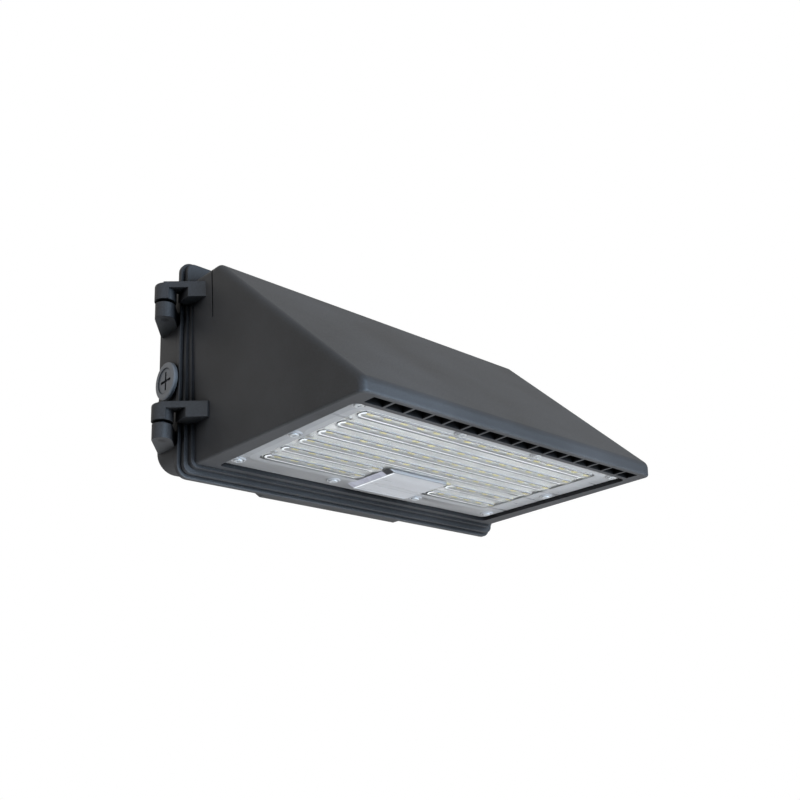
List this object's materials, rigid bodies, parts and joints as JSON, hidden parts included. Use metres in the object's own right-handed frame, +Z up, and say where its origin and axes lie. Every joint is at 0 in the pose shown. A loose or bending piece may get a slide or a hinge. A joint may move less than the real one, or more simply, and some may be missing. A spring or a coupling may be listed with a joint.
{
  "type": "security wall light",
  "caption": "Full-cutoff LED wall light: dark cast hood with a down-facing lens, hinged at its left side to a shallow wall box with plugged conduit entries.",
  "frame": {"origin": "middle of the rear wire entry, on the wall plane", "axes": "+X right seen from the front, +Y into the wall, +Z up"},
  "size_m": [0.3907, 0.2435, 0.185],
  "materials": {
    "casting": "fine textured dark charcoal powder coat on cast aluminium",
    "seal_rubber": "black silicone seal",
    "dark_steel": "black coated steel",
    "plug_metal": "mid-grey coated metal",
    "clear_lens": "clear moulded polycarbonate, frosted between the bars",
    "bright_steel": "plain stainless steel",
    "board_white": "white solder mask on an aluminium board",
    "led_phosphor": "pale yellow phosphor, unlit",
    "connector_plastic": "natural nylon",
    "driver_shell": "satin aluminium case",
    "surge_plastic": "dark moulded plastic",
    "lead_red": "red wire insulation",
    "lead_black": "black wire insulation",
    "terminal_brass": "plain brass",
    "ground_green": "green earth screw"
  },
  "bodies": {
    "box": {"back_box": "casting", "box_gasket": "seal_rubber", "hinge_pin_upper": "dark_steel", "hinge_pin_lower": "dark_steel", "plug_seal_left": "seal_rubber", "plug_seal_right": "seal_rubber", "terminal_block": "connector_plastic", "terminal_screws": "terminal_brass", "ground_screw": "ground_green"},
    "hood": {"front_housing": "casting", "lens_plate": "clear_lens", "lens_gasket": "seal_rubber", "lens_screws": "bright_steel", "led_board": "board_white", "led_chips": "led_phosphor", "board_screws": "bright_steel", "board_connector": "connector_plastic", "driver_case": "driver_shell", "driver_screws": "bright_steel", "surge_protector": "surge_plastic", "surge_screw": "bright_steel", "lead_grommet": "seal_rubber", "led_lead_plus": "lead_red", "led_lead_minus": "lead_black"},
    "left_plug": {"conduit_plug_left": "plug_metal"},
    "right_plug": {"conduit_plug_right": "plug_metal"},
    "upper_screw": {"closing_screw_upper": "dark_steel"},
    "lower_screw": {"closing_screw_lower": "dark_steel"}
  },
  "joints": [
    {"name": "hood_hinge", "type": "hinge", "parent": "box", "child": "hood", "pos_m": [-0.1901, -0.0362, 0], "axis": [0, 0, -1], "range_deg": [0, 105]},
    {"name": "left_plug_slide", "type": "slide", "parent": "box", "child": "left_plug", "axis": [-1, 0, 0], "range_m": [0, 0.03]},
    {"name": "right_plug_slide", "type": "slide", "parent": "box", "child": "right_plug", "axis": [1, 0, 0], "range_m": [0, 0.03]},
    {"name": "upper_screw_slide", "type": "slide", "parent": "hood", "child": "upper_screw", "axis": [0, -1, 0], "range_m": [0, 0.01]},
    {"name": "lower_screw_slide", "type": "slide", "parent": "hood", "child": "lower_screw", "axis": [0, -1, 0], "range_m": [0, 0.01]}
  ]
}
